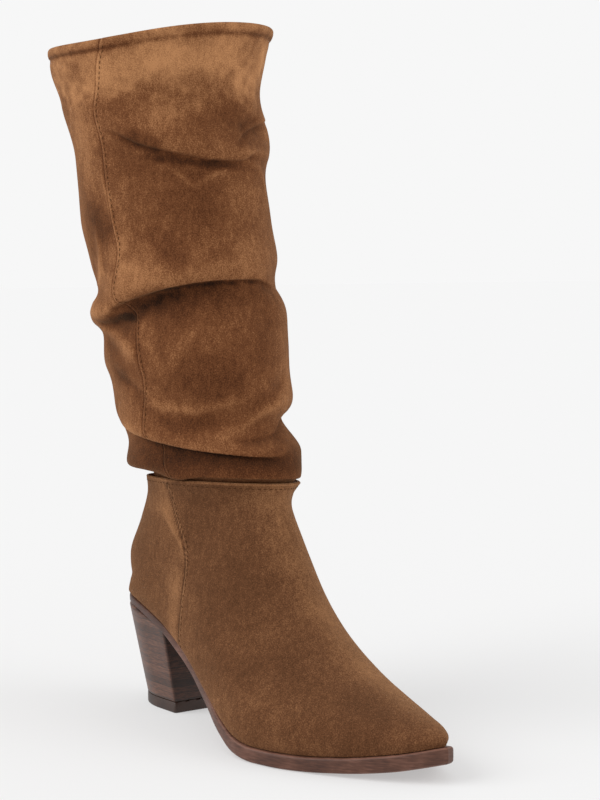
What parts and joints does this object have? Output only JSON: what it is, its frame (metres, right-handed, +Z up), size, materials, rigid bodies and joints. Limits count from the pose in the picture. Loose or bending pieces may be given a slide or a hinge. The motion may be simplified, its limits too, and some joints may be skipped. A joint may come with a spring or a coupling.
{
  "type": "slouch boot",
  "caption": "Right suede slouch boot with an almond toe, stacked block heel and a tall shaft that sags in soft folds above the ankle seam.",
  "frame": {"origin": "centre of the heel's resting face, on the floor that heel and forefoot stand on", "axes": "+X to the toe, +Y to the inner (medial) side, +Z up"},
  "size_m": [0.2929, 0.1204, 0.3742],
  "materials": {
    "outsole": "stained and burnished edge, satin",
    "heel": "stacked leather, waxed, satin with fine level lines",
    "top_lift": "matt black rubber",
    "insole": "smooth lining leather",
    "upper": "tan suede with a fine brushed nap",
    "shaft": "tan suede with a fine brushed nap, soft folds"
  },
  "bodies": {
    "root": {"outsole": "outsole", "heel": "heel", "top_lift": "top_lift", "insole": "insole", "upper": "upper", "shaft": "shaft"}
  },
  "joints": []
}
